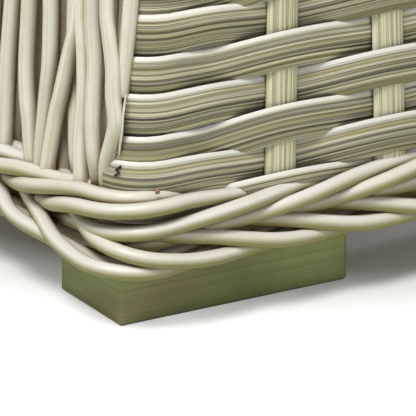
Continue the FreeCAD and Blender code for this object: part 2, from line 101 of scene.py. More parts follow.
class Graph:
    """The node tree of one material or world."""

    def __init__(self, owner: Union[bpy.types.Material, bpy.types.World]) -> None:
        """Empty the owner's node tree.

        Args:
            owner: the material or world.
        """
        owner.use_nodes = True
        self.owner = owner
        self.tree = owner.node_tree
        self.tree.nodes.clear()

    @classmethod
    def named(cls, name: str) -> "Graph":
        """The graph of a new material."""
        return cls(bpy.data.materials.new(name))

    def node(
        self,
        kind: str,
        settings: Optional[dict] = None,
        inputs: Optional[dict] = None,
        output: Union[int, str] = 0,
    ) -> Value:
        """Add one node.

        Args:
            kind: the node's type, without its ShaderNode prefix.
            settings: properties to set first.
            inputs: values or links, by socket name or number.
            output: the socket to return.

        Returns:
            The chosen output socket.
        """
        made = self.tree.nodes.new("ShaderNode" + kind)
        for key, setting in (settings or {}).items():
            setattr(made, key, setting)
        for key, given in (inputs or {}).items():
            if isinstance(given, Value):
                self.tree.links.new(given.socket, made.inputs[key])
            else:
                made.inputs[key].default_value = given
        return Value(self, made.outputs[output] if made.outputs else made.inputs[0])

    def math(self, operation: str, first: Number, second: Number = 0.0) -> Value:
        """Add a Math node.

        Args:
            operation: its operation.
            first: first operand.
            second: second operand.

        Returns:
            The result.
        """
        return self.node("Math", {"operation": operation}, {0: first, 1: second})

    def mix(self, factor: Number, first: Union[Value, Colour], second: Union[Value, Colour],
            blend: str = "MIX") -> Value:
        """Mix two colours.

        Args:
            factor: share of the second colour.
            first: first colour.
            second: second colour.
            blend: blend type.

        Returns:
            The mixed colour.
        """
        ends = [part if isinstance(part, Value) else (*part, 1.0) for part in (first, second)]
        return self.node(
            "Mix", {"data_type": "RGBA", "blend_type": blend}, {0: factor, 6: ends[0], 7: ends[1]}, 2
        )

    def noise(self, vector: Value, scale: float, detail: float = 2.0, roughness: float = 0.5) -> Value:
        """Noise factor over a vector.

        Args:
            vector: where the pattern is read.
            scale: cells per unit.
            detail: octaves.
            roughness: strength of the finer octaves.

        Returns:
            The noise factor, about 0 to 1.
        """
        return self.node(
            "TexNoise", None,
            {"Vector": vector, "Scale": scale, "Detail": detail, "Roughness": roughness},
        )

    def stretched(self, source: Value, scale: tuple[float, float, float]) -> Value:
        """A vector scaled along each axis.

        Args:
            source: the vector.
            scale: factor for each axis.

        Returns:
            The scaled vector.
        """
        return self.node("Mapping", None, {"Vector": source, "Scale": scale})

    def range(self, value: Value, low: float, high: float) -> Value:
        """Clamp a value's stretch from low to high onto 0 to 1.

        Args:
            value: the value.
            low: what becomes 0.
            high: what becomes 1.

        Returns:
            The share.
        """
        return self.node("MapRange", None, {"Value": value, "From Min": low, "From Max": high})

    def crevice(self, reach: float) -> Value:
        """How far a point lies down between its neighbours, which the finishes paint as shade.

        Args:
            reach: how far neighbours count, in metres.

        Returns:
            0 in the open, 1 deep down.
        """
        return 1.0 - self.node(
            "AmbientOcclusion", {"samples": 8, "only_local": False}, {"Distance": reach}, "AO"
        )

    def finish(self, shader_inputs: dict) -> bpy.types.Material:
        """Close the material with a Principled shader.

        Args:
            shader_inputs: its values or links.

        Returns:
            The material.
        """
        shader = self.node("BsdfPrincipled", None, shader_inputs)
        self.node("OutputMaterial", None, {"Surface": shader})
        return self.owner


# --- finishes -------------------------------------------------------------------------------------

@dataclass(frozen=True)
class CaneFinish:
    """Smooth extruded resin cane: cream, with faint lines along it, painted shade in the gaps and painted
    olive shade on its undersides.
    """

    name: str = "cream_cane"
    pale: Colour = (0.77, 0.745, 0.68)
    warm: Colour = (0.55, 0.465, 0.32)
    olive: Colour = (0.54, 0.53, 0.34)
    # Painted shade colour in the gaps between canes; gap is the stretch of the occlusion over which it
    # comes in.
    painted_shade: Colour = (0.30, 0.215, 0.10)
    # Painted olive shade on the undersides, on sides that face down past under_from.
    under: Colour = (0.27, 0.25, 0.07)
    under_from: float = 0.05
    gap: tuple[float, float] = (0.14, 0.76)
    roughness: float = 0.36
    lines: tuple[float, float, float] = (11.0, 5.0, 1.0)

    def build(self) -> bpy.types.Material:
        """The material; U runs round the cane and V along it, in metres.

        Returns:
            The material.
        """
        graph = Graph.named(self.name)
        place = graph.node("UVMap", {"uv_map": "UVMap"})
        solid = graph.node("TexCoord", output="Object")
        tone = graph.node("Attribute", {"attribute_name": "tone"}, output="Fac")
        line = graph.noise(graph.stretched(place, self.lines), 1.0, 3.0)
        fine = graph.noise(graph.stretched(place, (46.0, 9.0, 1.0)), 1.0, 2.0)
        spot = graph.noise(solid, 55.0, 3.0)
        grain = graph.noise(solid, 1100.0, 2.0)
        colour = graph.mix(graph.range(line, 0.44, 0.68) * 0.65, self.pale, self.warm)
        colour = graph.mix(graph.range(fine, 0.54, 0.72) * 0.25, colour, self.warm)
        colour = graph.mix(graph.range(spot, 0.5, 0.8) * 0.35, colour, self.olive)
        # Painted shade: sides that face down turn dark olive, more so the further down they face.
        facing = graph.node("SeparateXYZ", None, {0: graph.node("TexCoord", output="Normal")}, 2)
        painted_underside_shade = graph.range(facing, self.under_from, self.under_from - 0.8)
        colour = graph.mix(painted_underside_shade * 0.9, colour, self.under)
        # Painted shade: the gaps between canes darken to a warm brown.
        colour = graph.mix(graph.range(graph.crevice(9.0 * MM), *self.gap) * 0.94, colour, self.painted_shade)
        shade = graph.node("CombineColor", None, {
            0: 0.86 + tone * 0.15, 1: 0.85 + tone * 0.15, 2: 0.81 + tone * 0.18})
        relief = graph.node("Bump", None, {
            "Strength": 0.22, "Distance": 0.0003, "Height": line + fine * 0.4 + grain * 0.15})
        return graph.finish({
            "Base Color": graph.mix(1.0, colour, shade, "MULTIPLY"),
            "Roughness": self.roughness + line * 0.14,
            "Normal": relief,
            "Coat Weight": 0.15,
            "Coat Roughness": 0.25,
        })


@dataclass(frozen=True)
class RibbedFinish:
    """Flat ribbed resin strand: fine dark grooves between cream and olive ribs, a painted highlight along
    the top rib and painted shade in the gaps between strands.
    """

    name: str = "ribbed_strand"
    rib: Colour = (0.76, 0.715, 0.56)
    olive: Colour = (0.32, 0.285, 0.125)
    groove: Colour = (0.030, 0.026, 0.018)
    # Painted highlight colour of the top rib.
    top: Colour = (0.90, 0.88, 0.84)
    # Painted shade colour in the gaps between strands; depth is how far that shade reaches.
    painted_shade: Colour = (0.075, 0.066, 0.032)
    grooves: tuple[tuple[float, float, float], ...] = ()
    painted_highlight_width: float = 0.0
    bands: float = 0.0
    depth: float = 9.0 * MM
    roughness: float = 0.40

    def build(self) -> bpy.types.Material:
        """The material; U runs across the strand and V along it, in metres.

        Returns:
            The material.
        """
        graph = Graph.named(self.name)
        place = graph.node("UVMap", {"uv_map": "UVMap"})
        across = graph.node("SeparateXYZ", None, {0: place}, 0)
        tone = graph.node("Attribute", {"attribute_name": "tone"}, output="Fac")
        shifted = graph.node("VectorMath", {"operation": "ADD"}, {
            0: graph.stretched(place, (1.0, 7.0, 1.0)),
            1: graph.node("CombineXYZ", None, {2: tone * 31.0}),
        })
        fade = graph.noise(graph.stretched(shifted, (7.0, 1.0, 1.0)), 1.0, 2.0)
        streak = graph.noise(graph.stretched(shifted, (20.0, 0.45, 1.0)), 1.0, 2.0)
        hair = graph.noise(graph.stretched(shifted, (52.0, 0.6, 1.0)), 1.0, 1.0)
        broad = graph.noise(graph.stretched(shifted, (8.5, 0.35, 1.0)), 1.0, 1.0)
        colour = graph.mix(graph.range(fade, 0.44, 0.64) * 0.6, self.rib, self.olive)
        colour = graph.mix(graph.range(streak, 0.47, 0.56) * 0.85, colour, self.olive)
        colour = graph.mix(graph.range(hair, 0.52, 0.62) * 0.75, colour, self.groove)
        colour = graph.mix(graph.range(broad, 0.50, 0.64) * self.bands, colour, self.groove)
        for where, width, strength in self.grooves:
            line = 1.0 - graph.range(graph.math("ABSOLUTE", across - where), width * 0.3, width)
            worn = 0.55 + graph.range(fade, 0.3, 0.6) * 0.45
            colour = graph.mix(line * worn * strength, colour, self.groove)
        # Painted highlight: a pale band along the top rib.
        if self.painted_highlight_width:
            light = 1.0 - graph.range(across, self.painted_highlight_width * 0.45, self.painted_highlight_width)
            colour = graph.mix(light * 0.85, colour, self.top)
        # Painted shade: the gaps and the places where strands pass behind others darken almost to black.
        gap = graph.crevice(self.depth)
        colour = graph.mix(graph.range(gap, 0.30, 0.95) * 0.85, colour, self.painted_shade)
        shade = graph.node("CombineColor", None, {
            0: 0.84 + tone * 0.18, 1: 0.84 + tone * 0.17, 2: 0.80 + tone * 0.2})
        relief = graph.node(
            "Bump", None, {"Strength": 0.4, "Distance": 0.0004, "Height": streak + hair * 0.5}
        )
        return graph.finish({
            "Base Color": graph.mix(1.0, colour, shade, "MULTIPLY"),
            "Roughness": self.roughness + streak * 0.15,
            "Normal": relief,
            "Coat Weight": 0.12,
            "Coat Roughness": 0.28,
        })


@dataclass(frozen=True)
class MetalFinish:
    """Brushed metal: fine streaks along one axis, cloudy tone and warm patches."""

    name: str = "brushed_metal"
    # base and dark are green: a painted reflection of grass on the metal.
    base: Colour = (0.27, 0.30, 0.13)
    dark: Colour = (0.13, 0.135, 0.06)
    warm: Colour = (0.24, 0.19, 0.12)
    metallic: float = 0.7
    roughness: float = 0.34
    brushing: tuple[float, float, float] = (8.0, 8.0, 900.0)

    def build(self) -> bpy.types.Material:
        """The material; it reads Object coordinates.

        Returns:
            The material.
        """
        graph = Graph.named(self.name)
        place = graph.node("TexCoord", output="Object")
        brush = graph.noise(graph.stretched(place, self.brushing), 1.0, 4.0, 0.6)
        cloud = graph.noise(place, 18.0, 3.0)
        fleck = graph.noise(graph.stretched(place, (60.0, 60.0, 1400.0)), 1.0, 2.0)
        patch = graph.noise(graph.stretched(place, (14.0, 14.0, 30.0)), 1.0, 1.0)
        colour = graph.mix(graph.range(cloud, 0.35, 0.7) * 0.8, self.base, self.dark)
        colour = graph.mix(graph.range(patch, 0.50, 0.68) * 0.6, colour, self.warm)
        colour = graph.mix(graph.range(brush, 0.45, 0.75) * 0.5, colour, self.dark)
        relief = graph.node(
            "Bump", None, {"Strength": 0.2, "Distance": 0.0002, "Height": brush + fleck * 0.5}
        )
        return graph.finish({
            "Base Color": colour,
            "Metallic": self.metallic,
            "Roughness": self.roughness + brush * 0.2,
            "Normal": relief,
        })


@dataclass(frozen=True)
class CoatFinish:
    """Powder coat on tube: an even colour with orange peel."""

    name: str = "powder_coat"
    base: Colour = (0.55, 0.52, 0.42)
    dust: Colour = (0.38, 0.35, 0.26)
    roughness: float = 0.5

    def build(self) -> bpy.types.Material:
        """The material; it reads Object coordinates.

        Returns:
            The material.
        """
        graph = Graph.named(self.name)
        place = graph.node("TexCoord", output="Object")
        peel = graph.noise(place, 1500.0, 1.0)
        dust = graph.noise(place, 25.0, 4.0)
        return graph.finish({
            "Base Color": graph.mix(graph.range(dust, 0.5, 0.8) * 0.6, self.base, self.dust),
            "Roughness": self.roughness + dust * 0.2,
            "Normal": graph.node("Bump", None, {"Strength": 0.15, "Distance": 0.0001, "Height": peel}),
        })


# --- the shape that all pieces share --------------------------------------------------------------

class Face(Enum):
    """The four faces, by quarter turns from the front, which looks along -Y."""

    FRONT = 0
    RIGHT = 1
    BACK = 2
    LEFT = 3


class Corner(Enum):
    """The four corners, by the signs of X and Y."""

    FRONT_LEFT = (-1, -1)
    FRONT_RIGHT = (1, -1)
    BACK_RIGHT = (1, 1)
    BACK_LEFT = (-1, 1)

    @property
    def label(self) -> str:
        """The corner's name as the CAD nodes spell it."""
        return self.name.lower()


@dataclass(frozen=True)
class Lean:
    """The rounded square of the stake planes, which narrows with height."""

    ground_half: float
    taper: float
    corner_radius: float

    @classmethod
    def from_frame(cls, cane: float, gap: float) -> "Lean":
        """Read the lean off a corner post's box.

        Args:
            cane: a round cane's diameter.
            gap: clearance between seated pieces.

        Returns:
            The lean.
        """
        low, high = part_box("post_front_left")
        foot, top = low[2], high[2]
        straight_foot, straight_top = -low[0] - POST_RADIUS, -high[0] + POST_RADIUS
        taper = (straight_foot - straight_top) / (top - foot)
        corner = POST_RADIUS + 1.5 * cane + 2 * gap
        return cls(straight_foot + corner + taper * foot, taper, corner)

    def half(self, height: float) -> float:
        """Middle to a stake plane, at a height."""
        return self.ground_half - self.taper * height

    def straight(self, height: float) -> float:
        """Middle of a face to where its corner starts, at a height."""
        return self.half(height) - self.corner_radius

    def quarter(self, height: float) -> float:
        """Length of one face and one corner, at a height."""
        return 2 * self.straight(height) + self.corner_radius * math.pi / 2

    def ring(self, along: float, out: float, height: float) -> Vector:
        """A point on the way round.

        Args:
            along: from the middle of the front face towards +X, and on round.
            out: outward from the stake plane.
            height: above the ground.

        Returns:
            The point.
        """
        straight = self.straight(height)
        turns, local = divmod(along + straight, self.quarter(height))
        if local < 2 * straight:
            point = Vector((local - straight, -straight - self.corner_radius - out, height))
        else:
            angle = (local - 2 * straight) / self.corner_radius
            radius = self.corner_radius + out
            sine, cosine = math.sin(angle), math.cos(angle)
            point = Vector((straight + radius * sine, -straight - radius * cosine, height))
        return Matrix.Rotation(turns * math.pi / 2, 3, "Z") @ point

    def corner(self, corner: Corner, along: float, out: float, height: float) -> Vector:
        """A point from a corner's front or back edge round to its side face.

        Args:
            corner: which corner.
            along: from where the corner's arc starts on the front or back face.
            out: outward from the stake plane.
            height: above the ground.

        Returns:
            The point.
        """
        point = self.ring(-self.straight(height) - along, out, height)
        return Vector((-point.x * corner.value[0], -point.y * corner.value[1], height))

    @property
    def arc(self) -> float:
        """Length of a corner's arc."""
        return self.corner_radius * math.pi / 2


POST_RADIUS = 10.0 * MM
CANE = 7.0 * MM
GAP = 0.3 * MM
LEAN = Lean.from_frame(CANE, GAP)
STAKES_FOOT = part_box("stakes_front")[0][2]
IN_PLAIT = STAKES_FOOT + 15.0 * MM
# The uprights' spacing, as a share of the half width: the bands are woven over them.
UPRIGHT_SPREAD = 0.42
# Stretches of a long cane, between the places where it may wander.
STRETCHES = 14


def level(node: str, high: bool = False) -> float:
    """A CAD node's lowest or highest point.

    Args:
        node: its name.
        high: True for its highest point.

    Returns:
        The height in metres.
    """
    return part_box(node)[1 if high else 0][2]


# --- swept strands --------------------------------------------------------------------------------

@dataclass
class Strand:
    """One swept strand.

    Attributes:
        path: its points.
        tone: how light it is, 0 to 1.
        widths: share of the full section at each point, or none for all full.
        closed: True for a loop.
    """

    path: Path
    tone: float = 0.5
    widths: Optional[list[float]] = None
    closed: bool = False


class Sweep:
    """Turns strands into one mesh with a UV map (across, metres along) and a tone."""

    def __init__(self, radius: float = 0.0, profile: Optional[list[tuple[float, float]]] = None,
                 sides: int = 3) -> None:
        """Set the section.

        Args:
            radius: of a round section.
            profile: outward and upward points of any other section.
            sides: bevel resolution of a round section.
        """
        self.curve = bpy.data.curves.new("sweep", "CURVE")
        self.curve.dimensions = "3D"
        self.curve.use_fill_caps = True
        self.guide: Optional[bpy.types.Object] = None
        if profile:
            self.guide = self._profile_object(profile)
            self.curve.bevel_mode = "OBJECT"
            self.curve.bevel_object = self.guide
            self.curve.twist_mode = "Z_UP"
        else:
            self.curve.bevel_depth = radius
            self.curve.bevel_resolution = sides
        self.holder = bpy.data.objects.new("sweep", self.curve)
        bpy.context.collection.objects.link(self.holder)

    @staticmethod
    def _profile_object(points: list[tuple[float, float]]) -> bpy.types.Object:
        """A closed flat curve that a path is bevelled with.

        Args:
            points: outward and upward.

        Returns:
            The curve object.
        """
        data = bpy.data.curves.new("section", "CURVE")
        data.dimensions = "2D"
        spline = data.splines.new("POLY")
        spline.points.add(len(points) - 1)
        for point, (out, up) in zip(spline.points, points):
            point.co = (out, up, 0.0, 1.0)
        spline.use_cyclic_u = True
        made = bpy.data.objects.new("section", data)
        bpy.context.collection.objects.link(made)
        return made

    def _one(self, strand: Strand) -> bpy.types.Mesh:
        """Mesh of one strand.

        Args:
            strand: the strand.

        Returns:
            Its mesh.
        """
        self.curve.splines.clear()
        spline = self.curve.splines.new("POLY")
        spline.points.add(len(strand.path) - 1)
        widths = strand.widths or [1.0] * len(strand.path)
        for point, place, width in zip(spline.points, strand.path, widths):
            point.co = (*place, 1.0)
            point.radius = width
        spline.use_cyclic_u = strand.closed
        spline.use_smooth = True
        self.holder.update_tag()
        graph = bpy.context.evaluated_depsgraph_get()
        return bpy.data.meshes.new_from_object(self.holder.evaluated_get(graph))

    def build(self, name: str, strands: Sequence[Strand], material: bpy.types.Material,
              slot: str) -> bpy.types.Object:
        """Join strands into a piece.

        Args:
            name: the piece's name.
            strands: what to sweep.
            material: its finish.
            slot: not used.

        Returns:
            The piece.
        """
        whole = bmesh.new()
        for strand in strands:
            mesh = self._one(strand)
            length = sum((b - a).length for a, b in zip(strand.path, strand.path[1:]))
            known = len(whole.faces)
            whole.from_mesh(mesh)
            bpy.data.meshes.remove(mesh)
            tones = whole.verts.layers.float.get("tone") or whole.verts.layers.float.new("tone")
            whole.faces.ensure_lookup_table()
            across = whole.loops.layers.uv.verify()
            for face in whole.faces[known:]:
                for corner in face.loops:
                    corner[across].uv = (corner[across].uv.y, corner[across].uv.x * length)
                    corner.vert[tones] = strand.tone
        bmesh.ops.remove_doubles(whole, verts=whole.verts, dist=1e-6)
        bmesh.ops.recalc_face_normals(whole, faces=whole.faces)
        sharpen(whole)
        piece = add_piece(name, whole, material)
        bpy.data.objects.remove(self.holder)
        if self.guide:
            bpy.data.objects.remove(self.guide)
        return piece


def add_piece(name: str, shape: bmesh.types.BMesh, material: bpy.types.Material,
              smooth: bool = True) -> bpy.types.Object:
    """Make a finished mesh a piece of the obelisk.

    Args:
        name: the piece's name.
        shape: its mesh, in place; it is freed.
        material: its finish.
        smooth: True for smooth shading.

    Returns:
        The piece, riding on the root body.
    """
    mesh = bpy.data.meshes.new(name)
    shape.to_mesh(mesh)
    shape.free()
    mesh.materials.clear()
    mesh.materials.append(material)
    mesh.polygons.foreach_set("material_index", [0] * len(mesh.polygons))
    mesh.polygons.foreach_set("use_smooth", [smooth] * len(mesh.polygons))
    piece = bpy.data.objects.new(name, mesh)
    bpy.context.collection.objects.link(piece)
    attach(piece, "root")
    LOG.info("%s: %d faces", name, len(mesh.polygons))
    return piece


def smooth_path(points: Sequence[tuple[float, ...]], steps: int) -> list[tuple[float, ...]]:
    """Points along a smooth curve through a few given ones.

    Args:
        points: what the curve goes through, of any dimension.
        steps: how many points each stretch gets.

    Returns:
        The points of the curve.
    """
    padded = [points[0], *points, points[-1]]
    made = []
    for before, start, end, after in zip(padded, padded[1:], padded[2:], padded[3:]):
        for step in range(steps):
            t = step / steps
            weights = (
                -0.5 * t + t * t - 0.5 * t ** 3,
                1 - 2.5 * t * t + 1.5 * t ** 3,
                0.5 * t + 2 * t * t - 1.5 * t ** 3,
                -0.5 * t * t + 0.5 * t ** 3,
            )
            made.append(tuple(
                sum(w * p[axis] for w, p in zip(weights, (before, start, end, after)))
                for axis in range(len(start))
            ))
    made.append(tuple(points[-1]))
    return made


def eased(value: float, low: float, high: float) -> float:
    """Smooth step of a value from 0 at low to 1 at high."""
    share = min(max((value - low) / (high - low), 0.0), 1.0)
    return share * share * (3 - 2 * share)


def ribbed_profile(width: float, thickness: float, ribs: Sequence[float], groove: float,
                   per_rib: int = 4) -> list[tuple[float, float]]:
    """Section of a flat ribbed strand, its ribbed side outward.

    Args:
        width: from edge to edge.
        thickness: at the middle.
        ribs: relative widths of the ribs, from the top edge down.
        groove: depth of the grooves.
        per_rib: points on each rib.

    Returns:
        Outward and upward points, from the top edge down and back up the inner side.
    """
    total = sum(ribs)
    front = []
    passed = 0.0
    for number, rib in enumerate(ribs):
        for step in range(per_rib + (number == len(ribs) - 1)):
            share = (passed + rib * step / per_rib) / total
            lens = math.sqrt(max(1 - (2 * share - 1) ** 2 * 0.94, 0.0))
            bulge = groove * (math.sin(math.pi * step / per_rib) - 1)
            front.append((thickness * (lens - 0.5) + bulge * lens, width * (0.5 - share)))
        passed += rib
    back = [
        (-thickness * 0.5 * math.sin(math.pi * step / 6), -width * (0.5 - step / 6) * 0.97)
        for step in range(1, 6)
    ]
    return front + back


def groove_places(ribs: Sequence[float], per_rib: int, back: int) -> list[float]:
    """Where the grooves lie across the section's UV.

    Args:
        ribs: relative widths of the ribs.
        per_rib: points on each rib.
        back: points on the inner side.

    Returns:
        The U of each groove.
    """
    points = len(ribs) * per_rib + 1 + back
    return [number * per_rib / points for number in range(1, len(ribs))]


# --- finishes used by the pieces ------------------------------------------------------------------

WEAVER_RIBS = (0.16, 0.12, 0.13, 0.17, 0.08, 0.17, 0.17)
WEAVER_GROOVES = (0.60, 0.45, 0.55, 1.0, 0.75, 0.55)
STAKE_RIBS = (1.0,) * 7
PER_RIB = 3
BACK_POINTS = 5


class Palette:
    """Every finish of the obelisk, built once."""

    def __init__(self) -> None:
        """Build the materials."""
        places = groove_places(WEAVER_RIBS, PER_RIB, BACK_POINTS)
        self.cane = CaneFinish().build()
        # The plait's painted underside shade covers more of it and its painted gap shade is lighter.
        self.plait = CaneFinish(
            "plait_cane", pale=(0.74, 0.72, 0.68), warm=(0.60, 0.54, 0.41), olive=(0.52, 0.52, 0.28),
            under_from=0.55, gap=(0.34, 1.0),
        ).build()
        # The weaver has a painted highlight along its top rib.
        self.weaver = RibbedFinish(
            "ribbed_weaver", painted_highlight_width=places[0] * 0.92, bands=0.6,
            grooves=tuple(
                (place, 0.014 + 0.015 * deep, deep) for place, deep in zip(places, WEAVER_GROOVES)
            ),
        ).build()
        self.stake = RibbedFinish(
            "grooved_stake", rib=(0.73, 0.71, 0.53), olive=(0.60, 0.58, 0.38), groove=(0.30, 0.28, 0.15),
            grooves=tuple((number / 14, 0.009, 0.5) for number in range(1, 7)), depth=6.0 * MM,
        ).build()
        # The green of this metal is a painted reflection of grass.
        self.metal = MetalFinish().build()
        self.steel = MetalFinish(
            "zinc_steel", base=(0.62, 0.60, 0.56), dark=(0.42, 0.40, 0.36), warm=(0.55, 0.50, 0.44),
            roughness=0.3,
        ).build()
        self.copper = MetalFinish(
            "copper_nail", base=(0.55, 0.30, 0.24), dark=(0.22, 0.12, 0.09), warm=(0.60, 0.38, 0.32),
        ).build()
        self.rust = MetalFinish(
            "rusty_wire", base=(0.06, 0.04, 0.035), dark=(0.03, 0.02, 0.02), warm=(0.12, 0.05, 0.03),
            roughness=0.5,
        ).build()
        self.frame = CoatFinish().build()


def dress_nodes(names: Sequence[str], material: bpy.types.Material) -> None:
    """Give CAD nodes a finish.

    Args:
        names: starts of the nodes' names.
        material: the finish.
    """
    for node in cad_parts:
        if node.startswith(tuple(names)):
            held = bpy.data.objects[node]
            held.data.materials.clear()
            held.data.materials.append(material)
            LOG.info("%s: %s", node, material.name)


# --- sub-assemblies -------------------------------------------------------------------------------

@dataclass
class Plait:
    """A flat plait of round canes that runs round the body as one closed knot.

    The canes follow waves and aren't kept apart, so they press into each other, most of all at the corners.

    Attributes:
        name: the piece's name.
        nodes: the CAD nodes that it stands for.
        strands: canes side by side.
        waves: waves of the whole knot.
        middle: height of its middle.
        rise: how far a cane's middle goes above and below that.
        depth: how far it goes out and in.
        start: where a cane crosses the middle on its way up and out, from the middle of the front.
        corner_lift: how much higher, as a share, the upper canes ride round the corners.
        corner_drop: how much lower the lower canes do.
        crowding: how much of the plait's length is drawn in before each corner.
        spread: how much of it is stretched out round the corner itself.
        evenness: how far the canes are spread apart where the plain wave would crowd them.
        late: how much later the falling canes come out at the corners, in radians of the wave.
        lift_window: where the lift and drop hold, in millimetres past a corner.
        steep_window: where the falling canes turn down sharply.
        late_window: where they come out late.
        radius: of one cane.
    """

    name: str
    nodes: tuple[str, ...]
    strands: int
    waves: int
    middle: float
    rise: float
    depth: float
    start: float = 0.0
    corner_lift: float = 0.0
    corner_drop: float = 0.0
    crowding: float = 0.0
    spread: float = 0.0
    evenness: float = 0.08
    late: float = 0.0
    lift_window: tuple[float, float, float, float] = (-62.0, -8.0, 8.0, 62.0)
    steep_window: tuple[float, float, float, float] = (-130.0, -80.0, -60.0, -10.0)
    late_window: tuple[float, float, float, float] = (-75.0, -35.0, -15.0, 32.0)
    radius: float = CANE / 2 - 0.12 * MM
    tone: float = 0.8

    def path(self) -> Path:
        """The knot's line.

        Returns:
            Its points.
        """
        round_length = 4 * LEAN.quarter(self.middle)
        count = self.strands * 400
        points = []
        for number in range(count):
            along = number / count * self.strands * round_length
            place = self._drawn(along) - self._drawn(self.start)
            even = 2 * math.pi * self.waves * place / (self.strands * round_length)
            # A slower turn at the crossings spreads the canes out over the plait's section.
            turn = even - self.evenness * math.sin(4 * even)
            turn -= self.late * self._near_corner(along, self.late_window) * (1 - math.cos(turn)) / 2
            height = self.middle + self.rise * self._swing(turn, along)
            here = along * LEAN.quarter(height) / LEAN.quarter(self.middle)
            points.append(LEAN.ring(here, self.depth * math.sin(2 * turn), height))
        return points

    def _swing(self, turn: float, along: float) -> float:
        """Height of a cane about the middle, as a share of its rise.

        Args:
            turn: where it is in its wave, in radians.
            along: from the middle of the front face.

        Returns:
            The share: more than 1 where the canes ride high or low round a corner.
        """
        swing = math.sin(turn)
        corner = self._near_corner(along, self.lift_window)
        if swing > 0:
            return swing * (1 + self.corner_lift * corner)
        steep = 1 - 0.4 * self._near_corner(along, self.steep_window)
        return -abs(swing) ** steep * (1 + self.corner_drop * corner)

    def _drawn(self, along: float) -> float:
        """The place in an even plait that a place in this one comes from.

        Args:
            along: from the middle of the front face.

        Returns:
            The place, further on where the plait is crowded.
        """
        quarter = LEAN.quarter(self.middle)
        on_side = along % quarter
        past = on_side - quarter / 2
        drawn = self.crowding * (eased(past, -115 * MM, -30 * MM) - on_side / quarter)
        return along + drawn - self.spread * (eased(past, -40 * MM, 40 * MM) - on_side / quarter)

    def _near_corner(self, along: float, window: tuple[float, float, float, float]) -> float:
        """How far a place on the way round is inside a window about its corner.

        Args:
            along: from the middle of the front face.
            window: where it opens, is open, starts to close and is closed, in millimetres past a corner.

        Returns:
            1 inside the window, 0 outside it.
        """
        quarter = LEAN.quarter(self.middle)
        past = (along % quarter - quarter / 2) / MM
        return eased(past, *window[:2]) * (1 - eased(past, *window[2:]))

    def build(self, material: bpy.types.Material) -> None:
        """Make the plait.

        Args:
            material: its finish.
        """
        piece = Sweep(self.radius, sides=3).build(
            self.name, [Strand(self.path(), self.tone, closed=True)], material, "cane"
        )
        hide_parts(*self.nodes)


@dataclass
class SkirtPanel:
    """The woven front or back of the skirt: ribbed strands over and under the stakes."""

    face: Face
    tops: tuple[tuple[float, float], ...] = (
        (57.0, 56.5), (71.5, 70.5), (82.0, 84.5), (99.0, 99.5), (115.0, 115.0), (131.5, 130.5),
    )
    rows: int = 25
    last_top: float = 419.0
    height: float = 16.9 * MM
    thickness: float = 2.7 * MM
    swing: float = 3.4 * MM
    nod: float = 2.1 * MM
    corner_width: float = 0.07
    stakes: int = 6
    stake_pitch: float = 50.0 * MM
    ends: tuple[tuple[float, float], ...] = (
        (50.0, 84.0), (62.0, 78.0), (75.0, 68.0), (89.0, 60.0), (103.0, 54.0), (122.0, 51.0),
        (139.0, 48.0), (200.0, 48.0), (430.0, 48.0),
    )
    seed: int = 11

    def end_angle(self, height: float) -> float:
        """How far round a corner the strands reach, at a height.

        Args:
            height: above the ground.

        Returns:
            The angle from the face, in radians.
        """
        for (low, angle), (high, after) in zip(self.ends, self.ends[1:]):
            if height < high * MM:
                share = min(max((height / MM - low) / (high - low), 0.0), 1.0)
                return math.radians(angle + (after - angle) * share)
        return math.radians(self.ends[-1][1])

    def _tops(self, number: int, chance: random.Random) -> tuple[float, float]:
        """Where a row's top edge lies at a corner and at the outermost stake.

        Args:
            number: which row, from the bottom.
            chance: source of small differences.

        Returns:
            Both heights in metres.
        """
        if number < len(self.tops):
            at_corner, at_stake = self.tops[number]
            return at_corner * MM, at_stake * MM
        pitch = (self.last_top - self.tops[-1][1]) / (self.rows - len(self.tops))
        at_stake = self.tops[-1][1] + pitch * (number + 1 - len(self.tops))
        return (at_stake + chance.uniform(-3.5, 1.0)) * MM, at_stake * MM

    def row(self, number: int, chance: random.Random) -> Strand:
        """One strand across the panel.

        Args:
            number: which row, from the bottom.
            chance: source of small differences.

        Returns:
            The strand.
        """
        at_corner, at_stake = self._tops(number, chance)
        middle = at_stake - self.height / 2
        pitch = self.stake_pitch * LEAN.half(middle) / LEAN.half(STAKES_FOOT)
        reaches = [
            LEAN.straight(middle) + LEAN.corner_radius * (angle + chance.uniform(-0.05, 0.05))
            for angle in (self.end_angle(middle),) * 2
        ]
        base = 2 * LEAN.quarter(middle) if self.face is Face.BACK else 0.0
        sway = [chance.uniform(-0.5, 0.5) * MM for _ in range(9)]
        count = 76
        path, widths = [], []
        for step in range(count + 1):
            along = -reaches[0] + (reaches[0] + reaches[1]) * step / count
            place = along / pitch + (self.stakes - 1) / 2
            weave = self.swing * math.cos(math.pi * (place + number))
            edge = eased(abs(along), LEAN.straight(middle) - 26 * MM, LEAN.straight(middle) + 2 * MM)
            out = weave * (1 - edge) + (0.5 * (number % 2) - 0.5) * MM * edge
            share = step / count * 8
            low = min(int(share), 7)
            lift = sway[low] + (sway[low + 1] - sway[low]) * (share - low)
            dip = eased(abs(along), pitch * (self.stakes - 1) / 2, LEAN.straight(middle))
            lift += self.nod * (1 - edge) * weave / self.swing + (at_corner - at_stake) * dip
            path.append(LEAN.ring(base + along, out, middle + lift))
            widths.append(1 + self.corner_width * edge)
        return Strand(path, chance.uniform(0.25, 1.0), widths)

    def build(self, palette: Palette) -> None:
        """Make the strands.

        Args:
            palette: the finishes.
        """
        chance = random.Random(self.seed + self.face.value)
        profile = ribbed_profile(self.height, self.thickness, WEAVER_RIBS, 0.35 * MM, PER_RIB)
        side = self.face.name.lower()
        piece = Sweep(profile=profile).build(
            f"ribbed_strands_{side}", [self.row(number, chance) for number in range(self.rows)],
            palette.weaver, "weaver",
        )
        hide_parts(f"skirt_weave_{side}")


